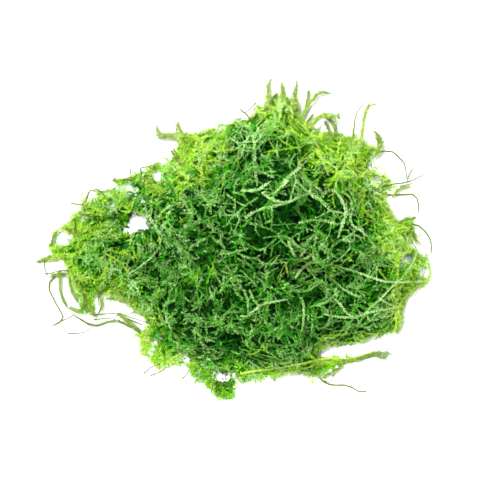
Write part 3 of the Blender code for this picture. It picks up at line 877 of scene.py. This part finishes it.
OPERATORS = {"add": "ADD", "sub": "SUBTRACT", "mul": "MULTIPLY", "truediv": "DIVIDE",
             "mod": "MODULO", "pow": "POWER"}
for name, operation in OPERATORS.items():
    setattr(Wire, f"__{name}__", operator(operation))
    setattr(Wire, f"__r{name}__", operator(operation, swap=True))
print("a node's output takes", len(OPERATORS), "of Python's operators")


# %% A tree that takes such sockets
class Tree:
    """A node tree under construction."""

    def __init__(self, made):
        self.made = made

    def feed(self, socket, value):
        """Links a wire to a socket, or sets a plain value on it."""
        if isinstance(value, Wire):
            self.made.links.new(value.socket, socket)
        else:
            socket.default_value = value

    def node(self, kind, settings=None, inputs=None):
        """Adds a node: its settings first, then the values or links of its inputs."""
        made = self.made.nodes.new(kind)
        for name, value in (settings or {}).items():
            setattr(made, name, value)
        for name, value in (inputs or {}).items():
            self.feed(pick(made.inputs, name), value)
        return Wire(self, made) if len(made.outputs) else made


print("a tree adds a node of any type")

# %% [markdown]
# ## The tree that dresses the shoots
# The routes come in as bare edges that carry a few numbers on every point: leaf size, stem radius,
# tone, age, and the way that the flat side of the shoot faces. The tree turns them into curves and
# sweeps a thin three-sided stem along them. Then it sets a leaf at every pitch, left and right in
# turn, as this moss wears them in two flat rows. The colours are stored as a map. Each kind of shoot has
# a third of its width, and the tone runs across that. Stem, leaf foot and leaf tip run up the map.

# %% Build the leafy shoot tree
COLOUR_MAP = "OFBake"
LEAF_BAND = 0.2  # the map holds the stem below this and the leaf above it
STEM_FOOT, STEM_RISE = 0.03, 0.12  # where on the map a stem starts, and how far up it runs
LEAF_FOOT, LEAF_RISE = LEAF_BAND + 0.02, 0.75  # the same for a leaf
SHADE_WIDTH = 0.02  # how much of its scale one face spans across
KINDS = 3  # old, young and dry shoots share the width of the map
LEAST_TONE, MOST_TONE = 0.01, 0.96  # a tone outside these would show another kind's colours
YAW, PITCHING, ROLLING = (-0.2, 0.2), (-0.5, 0.1), (-0.5, 0.5)  # how leaves are turned, in radians
SIZE_RANGE = (0.8, 1.15)  # how leaf sizes vary along one shoot
GLINT_RARITY, SHADE_RANGE = 6, (-0.12, 0.06)  # few leaves carry a painted glint, and all vary a little


def leafy_shoots():
    """Builds the node tree; returns it with the identifier of each of its inputs."""
    made = bpy.data.node_groups.new("leafy_shoots", "GeometryNodeTree")
    tree, ids = Tree(made), {}
    for name, kind, value in (
        ("Geometry", "Geometry", None), ("Leaf", "Object", None), ("Material", "Material", None),
        ("Leaf pitch", "Float", 0.40 * MM), ("Leaf spread", "Float", math.radians(43)),
        ("Stem step", "Float", 3.2 * MM), ("Rest height", "Float", 0.8 * MM), ("Seed", "Int", 3),
    ):
        socket = made.interface.new_socket(name, in_out="INPUT", socket_type="NodeSocket" + kind)
        ids[name] = socket.identifier
        if value is not None:
            socket.default_value = value
    made.interface.new_socket("Geometry", in_out="OUTPUT", socket_type="NodeSocketGeometry")
    given = tree.node("NodeGroupInput")

    def read(name, kind="FLOAT"):
        """A number that the points carry."""
        return tree.node("GeometryNodeInputNamedAttribute", {"data_type": kind}, {"Name": name})

    def chance(least, most, number):
        """A random value for each element, from a seed of its own."""
        values = {"Min": least, "Max": most, "Seed": given.out("Seed") * 10 + number}
        return tree.node("FunctionNodeRandomValue", {"data_type": "FLOAT"}, values)

    def vector(x, y, z=0.0):
        """Three values as one vector."""
        return tree.node("ShaderNodeCombineXYZ", {}, {"X": x, "Y": y, "Z": z})

    def store(geometry, name, value, kind="FLOAT", domain="POINT"):
        """The geometry with a value written on its elements."""
        return tree.node("GeometryNodeStoreNamedAttribute", {"data_type": kind, "domain": domain}, {
            "Geometry": geometry, "Name": name, "Value": value})

    def mapped(geometry, spread, up):
        """The geometry with its place on the colour map, each face spread a little across it."""
        across = (read("tone") + read(spread) * SHADE_WIDTH + read("kind")) / KINDS
        return store(geometry, COLOUR_MAP, vector(across, up), "FLOAT2", "CORNER")

    def stepped(step):
        """The routes with points this far apart, times each shoot's own pitch."""
        return tree.node("GeometryNodeResampleCurve", {"mode": "LENGTH"}, {
            "Curve": curves, "Length": given.out(step) * read("pitch")})

    curves = tree.node("GeometryNodeMeshToCurve", {}, {"Mesh": given.out("Geometry")})

    ring = tree.node("GeometryNodeCurvePrimitiveCircle", {}, {"Resolution": 3, "Radius": 1.0})
    ring = store(ring, "round", tree.node("GeometryNodeInputIndex") * 0.5)
    stems = tree.node("GeometryNodeCurveToMesh", {}, {
        "Curve": stepped("Stem step"), "Profile Curve": ring, "Scale": read("stem"), "Fill Caps": True})
    stems = mapped(stems, "round", STEM_FOOT + read("age") * STEM_RISE)

    ranks = stepped("Leaf pitch")
    points = tree.node("GeometryNodeCurveToPoints", {"mode": "EVALUATED"}, {"Curve": ranks})
    axes = tree.node("FunctionNodeAxesToRotation", {"primary_axis": "X", "secondary_axis": "Z"}, {
        "Primary Axis": points.out("Tangent"), "Secondary Axis": read("face", "FLOAT_VECTOR")})
    side = tree.node("GeometryNodeInputIndex") % 2 * 2 - 1
    swing = side * (given.out("Leaf spread") + chance(*YAW, 1))
    local = vector(chance(*ROLLING, 2), chance(*PITCHING, 3), swing)
    local = tree.node("FunctionNodeEulerToRotation", {}, {"Euler": local})
    rotation = tree.node("FunctionNodeRotateRotation", {"rotation_space": "LOCAL"}, {
        "Rotation": axes, "Rotate By": local})
    leaf = tree.node("GeometryNodeObjectInfo", {}, {"Object": given.out("Leaf")}).out("Geometry")
    leaves = tree.node("GeometryNodeInstanceOnPoints", {}, {
        "Points": points, "Instance": leaf, "Rotation": rotation,
        "Scale": read("leaf") * chance(*SIZE_RANGE, 4)})
    # a few leaves are painted lighter, as painted glints; all get a small random change of tone
    painted_glint_and_variation = chance(0, 1, 6) ** GLINT_RARITY * read("tone") + chance(*SHADE_RANGE, 5)
    shade = (read("tone") + painted_glint_and_variation).math("MAXIMUM", LEAST_TONE).math("MINIMUM", MOST_TONE)
    leaves = store(leaves, "tone", shade, domain="INSTANCE")
    leaves = tree.node("GeometryNodeRealizeInstances", {}, {"Geometry": leaves})
    leaves = mapped(leaves, "leaf_across", LEAF_FOOT + read("leaf_along") * LEAF_RISE)

    joined = tree.node("GeometryNodeJoinGeometry")
    for part in (leaves, stems):
        made.links.new(part.socket, joined.node.inputs[0])
    place = tree.node("GeometryNodeInputPosition")
    split = tree.node("ShaderNodeSeparateXYZ", {}, {"Vector": place})
    height, rest = split.out("Z"), given.out("Rest height")
    squeeze = (height / rest - 1).math("MINIMUM", 0).math("EXPONENT")
    lifted = vector(split, split.out("Y"), height.math("MAXIMUM", rest) * squeeze)
    joined = tree.node("GeometryNodeSetPosition", {}, {"Geometry": joined, "Position": lifted})
    dressed = tree.node("GeometryNodeSetMaterial", {}, {
        "Geometry": joined, "Material": given.out("Material")})
    tree.node("NodeGroupOutput", {}, {"Geometry": dressed})
    return made, ids


shoot_tree, shoot_inputs = leafy_shoots()
print("the tree has", len(shoot_tree.nodes), "nodes")

# %% [markdown]
# ## The moss's finish
# Moss leaves are one cell thick: light shines through them, and their wet skin glints. The finish is a
# glossy green mixed with light from behind, which fresh leaves let through best. Three colour scales,
# for leaf foot, leaf tip and stem, run from the oldest tone to the freshest. The leaf tips are paler than
# the feet, and the top of the old scales is near white: partly the moss's own pale tips, partly painted
# highlights. Each kind of shoot could have a finish of its own, but one finish that only reads the colour
# map suits every piece.

# %% Paint the moss
GLOSS = 0.42  # roughness of the wet skin
SHEEN = 0.07  # strength of its glints
LIGHT_THROUGH = 0.38  # share of the light that the freshest leaf lets through
TIP_START = 0.45  # how far up the map the colour of the leaf's foot starts to turn
SEAM = 0.02  # width of the change from stem to leaf on the map


def on_screen(red, green, blue):
    """A colour as it looks on a screen, turned into the light values that shaders use."""
    values = [c / 255 for c in (red, green, blue)]
    return (*[c / 12.92 if c <= 0.04045 else ((c + 0.055) / 1.055) ** 2.4 for c in values], 1.0)


GLOW = on_screen(128, 205, 32)  # the colour of the light that has come through a leaf
# the old scale's near-white top, where painted glints and the top shoots land, is partly painted highlight
LEAF_SCALES = [  # for old, young and dry shoots: place on the tone scale, colour of the leaf's foot
    [(0.02, (1, 44, 0)), (0.25, (8, 90, 2)), (0.5, (45, 145, 14)), (0.75, (106, 192, 58)),
     (0.98, (216, 244, 176))],
    [(0.02, (10, 62, 1)), (0.25, (44, 130, 2)), (0.5, (106, 188, 6)), (0.75, (160, 218, 30)),
     (0.98, (216, 240, 92))],
    [(0.02, (40, 60, 10)), (0.35, (102, 134, 36)), (0.7, (160, 194, 80)), (0.98, (198, 220, 118))],
]
# leaf tips are paler than their feet: the pale young tips, and partly painted highlights
TIP_SCALES = [
    [(0.02, (4, 50, 1)), (0.25, (33, 110, 14)), (0.5, (88, 177, 38)), (0.75, (180, 231, 126)),
     (0.98, (238, 252, 200))],
    [(0.02, (28, 84, 4)), (0.25, (84, 166, 8)), (0.5, (152, 224, 34)), (0.75, (196, 234, 72)),
     (0.98, (228, 246, 140))],
    [(0.02, (30, 44, 8)), (0.35, (84, 104, 30)), (0.7, (130, 152, 62)), (0.98, (184, 204, 114))],
]
STEM_SCALES = [
    [(0.02, (4, 30, 2)), (0.35, (34, 84, 16)), (0.98, (150, 200, 104))],
    [(0.02, (20, 62, 4)), (0.5, (100, 158, 24)), (0.98, (190, 224, 96))],
    [(0.02, (34, 42, 12)), (0.5, (104, 116, 50)), (0.98, (200, 208, 140))],
]


def ramp(tree, value, scales):
    """The colour at value, where each kind of shoot has its own third of the range."""
    stops = [((kind + at) / KINDS, colour) for kind, scale in enumerate(scales) for at, colour in scale]
    made = tree.node("ShaderNodeValToRGB", {}, {"Fac": value})
    elements = made.node.color_ramp.elements
    while len(elements) < len(stops):
        elements.new(0.5)
    for element, (place, colour) in zip(elements, stops):
        element.position, element.color = place, on_screen(*colour)
    return made


def mixed(tree, factor, first, second):
    """One colour turning into another."""
    return tree.node("ShaderNodeMix", {"data_type": "RGBA"}, {"Factor": factor, "A": first, "B": second})


def smooth_step(tree, value, start, end):
    """0 below start, 1 above end, and a soft slope between them."""
    values = {"Value": value, "From Min": start, "From Max": end}
    return tree.node("ShaderNodeMapRange", {"interpolation_type": "SMOOTHSTEP"}, values)


def moss_material():
    """The one finish of every piece."""
    material = bpy.data.materials.new("damp_moss")
    material.use_nodes = True
    nodes, tree = material.node_tree.nodes, Tree(material.node_tree)
    place = tree.node("ShaderNodeUVMap", {"uv_map": COLOUR_MAP})
    split = tree.node("ShaderNodeSeparateXYZ", {}, {"Vector": place})
    tone, up = split.out("X"), split.out("Y")
    tip = smooth_step(tree, up, TIP_START, 1.0)
    leaf = mixed(tree, tip, ramp(tree, tone, LEAF_SCALES), ramp(tree, tone, TIP_SCALES))
    stem = ramp(tree, tone, STEM_SCALES)
    colour = mixed(tree, smooth_step(tree, up, LEAF_BAND - SEAM, LEAF_BAND), stem, leaf)
    skin = nodes["Principled BSDF"]
    tree.feed(skin.inputs["Base Color"], colour)
    skin.inputs["Roughness"].default_value = GLOSS
    skin.inputs["Specular IOR Level"].default_value = SHEEN
    through = tree.node("ShaderNodeBsdfTranslucent", {}, {"Color": GLOW})
    blend = tree.node("ShaderNodeMixShader", {}, {"Fac": tone * KINDS % 1 * LIGHT_THROUGH})
    tree.made.links.new(skin.outputs[0], blend.node.inputs[1])
    tree.made.links.new(through.socket, blend.node.inputs[2])
    tree.made.links.new(blend.socket, nodes["Material Output"].inputs[0])
    return material


moss = moss_material()
print("painted", moss.name)

# %% [markdown]
# ## From routes to pieces
# The shoots of a piece become bare edges that carry their numbers, the tree turns those into stems and
# leaves, and the result is kept as one plain mesh. The tree is then taken off, so nothing depends on it.

# %% Dress a set of shoots
TAPER_FROM, TAPER_PART, TAPER = 0.78, 0.22, 0.5  # leaves shrink to this over the last part of a shoot
THINNED = 0.5  # how much of a stem's radius is gone at its tip
TIP_BALANCE = 0.3  # keeps the mean tone of a shoot when its tip turns lighter
CLOSEST = 0.6  # the leaf size below which leaves don't grow any closer together


def route_mesh(name, chosen, tones):
    """Bare edges along the chosen shoots, with the numbers that the node tree reads."""
    points = np.concatenate([shoot["points"] for shoot in chosen])
    ages = [np.linspace(0, 1, len(shoot["points"])) for shoot in chosen]
    age = np.concatenate(ages)
    taper = 1 - TAPER * np.clip((age - TAPER_FROM) / TAPER_PART, 0, 1)
    spread = {key: np.concatenate([np.full(len(a), shoot[key]) for a, shoot in zip(ages, chosen)])
              for key in ("leaf", "stem", "tone", "pitch", "kind", "tips")}
    tone = np.clip(tones(points) + spread["tone"] + spread["tips"] * (age**2 - TIP_BALANCE),
                   LEAST_TONE, MOST_TONE)
    values = {"leaf": spread["leaf"] * taper, "stem": spread["stem"] * (1 - THINNED * age),
              "pitch": spread["pitch"] * np.maximum(spread["leaf"], CLOSEST), "tone": tone, "age": age,
              "kind": spread["kind"]}
    last = np.cumsum([len(a) for a in ages]) - 1
    start = np.setdiff1d(np.arange(len(points)), last)
    mesh = bpy.data.meshes.new(name + "_routes")
    mesh.from_pydata(points, np.column_stack([start, start + 1]), [])
    for key, data in values.items():
        mesh.attributes.new(key, "FLOAT", "POINT").data.foreach_set("value", data.astype(np.float32))
    faces = np.concatenate([shoot["face"] for shoot in chosen]).astype(np.float32)
    mesh.attributes.new("face", "FLOAT_VECTOR", "POINT").data.foreach_set("vector", faces.ravel())
    return mesh


def dress(name, chosen, seed, tones=tone_of):
    """One plain mesh piece from the chosen shoots."""
    piece = bpy.data.objects.new(name, route_mesh(name, chosen, tones))
    bpy.context.scene.collection.objects.link(piece)
    modifier = piece.modifiers.new("leafy_shoots", "NODES")
    modifier.node_group = shoot_tree
    modifier[shoot_inputs["Leaf"]] = leaf_object
    modifier[shoot_inputs["Material"]] = moss
    modifier[shoot_inputs["Seed"]] = seed
    graph = bpy.context.evaluated_depsgraph_get()
    finished = bpy.data.meshes.new_from_object(piece.evaluated_get(graph))
    piece.modifiers.remove(modifier)
    piece.data, finished.name = finished, name
    return piece


def stand_for(piece, node):
    """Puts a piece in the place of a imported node; returns its number of triangles."""
    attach(piece, "root")
    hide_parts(node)
    piece.data.calc_loop_triangles()
    return len(piece.data.loop_triangles)


print("ready to dress", len(shoots), "shoots and", len(strand_shoots), "strands")

# %% [markdown]
# A tuft on the bench is whatever comes away together when it is pulled: here, the shoots whose feet
# lie nearest to the middle of one packed tuft, measured against that tuft's own size.

# %% Make the tufts
boxes = {name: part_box(name) for name in tuft_names}
middles = np.array([((a + b) / 2)[:2] for a, b in boxes.values()])
reaches = np.array([((b - a) / 2)[:2] for a, b in boxes.values()])
feet = np.array([shoot["points"][0][:2] for shoot in shoots])
gaps = np.linalg.norm((feet[:, None] - middles) / reaches, axis=2)
owner = gaps.argmin(1)
triangles = {}
for number, name in enumerate(tuft_names):
    chosen = [shoots[i] for i in np.flatnonzero(owner == number)]
    triangles[name] = stand_for(dress("moss_" + name, chosen, number), name)
print(triangles)
print("tufts:", sum(triangles.values()), "triangles, the largest", max(triangles.values()))

# %% [markdown]
# The loose strands are dressed in the same way. They have left the clump, so no painted shade or
# painted rim glow is added, and their tone is only their own.

# %% Make the loose strands
STRAND_SEEDS = 100  # the first seed of the strands, so that none repeats a tuft's


def unshaded(points):
    """The tone that a strand's place adds: none."""
    return np.zeros(len(points))


for number, name in enumerate(strand_names):
    piece = dress("moss_" + name, strand_shoots[name], STRAND_SEEDS + number, unshaded)
    triangles[name] = stand_for(piece, name)
bpy.data.objects.remove(leaf_object)
print("in all:", sum(triangles.values()), "triangles")

# %% [markdown]
# ## The floor
# The clump lies on plain pale paper, one flat square. It also lights the thin rim of the moss from
# below, which makes it glow, over the glow already painted into the rim's tone. Its pale grey is set on
# the shader, because paper this plain needs no pattern.

# %% Lay the floor
FLOOR_SIZE = 1.6
PAPER_COLOUR, PAPER_ROUGHNESS = (0.92, 0.92, 0.91, 1), 0.8
half = FLOOR_SIZE / 2
mesh = bpy.data.meshes.new("floor")
mesh.from_pydata([(-half, -half, 0), (half, -half, 0), (half, half, 0), (-half, half, 0)], [],
                 [(0, 1, 2, 3)])
floor = bpy.data.objects.new("floor", mesh)
bpy.context.scene.collection.objects.link(floor)
paper = bpy.data.materials.new("pale_paper")
paper.use_nodes = True
paper_shader = paper.node_tree.nodes["Principled BSDF"]
paper_shader.inputs["Base Color"].default_value = PAPER_COLOUR
paper_shader.inputs["Roughness"].default_value = PAPER_ROUGHNESS
floor.data.materials.append(paper)
floor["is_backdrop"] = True
print("floor laid")

# %% [markdown]
# ## The light
# A soft lamp high at the back left shapes the heap, a weaker one opposite opens its shadows, and a
# white sky lights it from all round. The lamps are small squares, so the shoots still cast shadows
# with a readable edge on each other.

# %% Hang the lamps
AIM = Vector((0, 0, 0.01))
SKY_LIGHT = 0.6


def softbox(name, place, size, power):
    """A square lamp that faces the clump."""
    lamp = bpy.data.lights.new(name, "AREA")
    lamp.size, lamp.energy = size, power
    made = bpy.data.objects.new(name, lamp)
    made.location = place
    made.rotation_euler = (AIM - Vector(place)).to_track_quat("-Z", "Y").to_euler()
    bpy.context.scene.collection.objects.link(made)


softbox("key", (-0.15, 0.13, 0.76), 0.20, 13.2)
softbox("fill", (0.30, -0.25, 0.65), 0.4, 1.2)
world = bpy.data.worlds.new("studio")
world.use_nodes = True
world.node_tree.nodes["Background"].inputs["Color"].default_value = (1, 1, 1, 1)
world.node_tree.nodes["Background"].inputs["Strength"].default_value = SKY_LIGHT
bpy.context.scene.world = world
bpy.context.scene.view_settings.view_transform = "Standard"
print("lamps hung")

# %% [markdown]
# ## The sizes
# The finished moss should fill the box of the imported model and hardly leave it, so both boxes are
# printed side by side.

# %% Note the sizes and finish
visual_box = [list(corner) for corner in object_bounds()]
for axis, a, b, c, d in zip("xyz", *cad_box, *visual_box):
    print(f"{axis}: packed {a / MM:.1f} to {b / MM:.1f} mm, moss {c / MM:.1f} to {d / MM:.1f} mm")
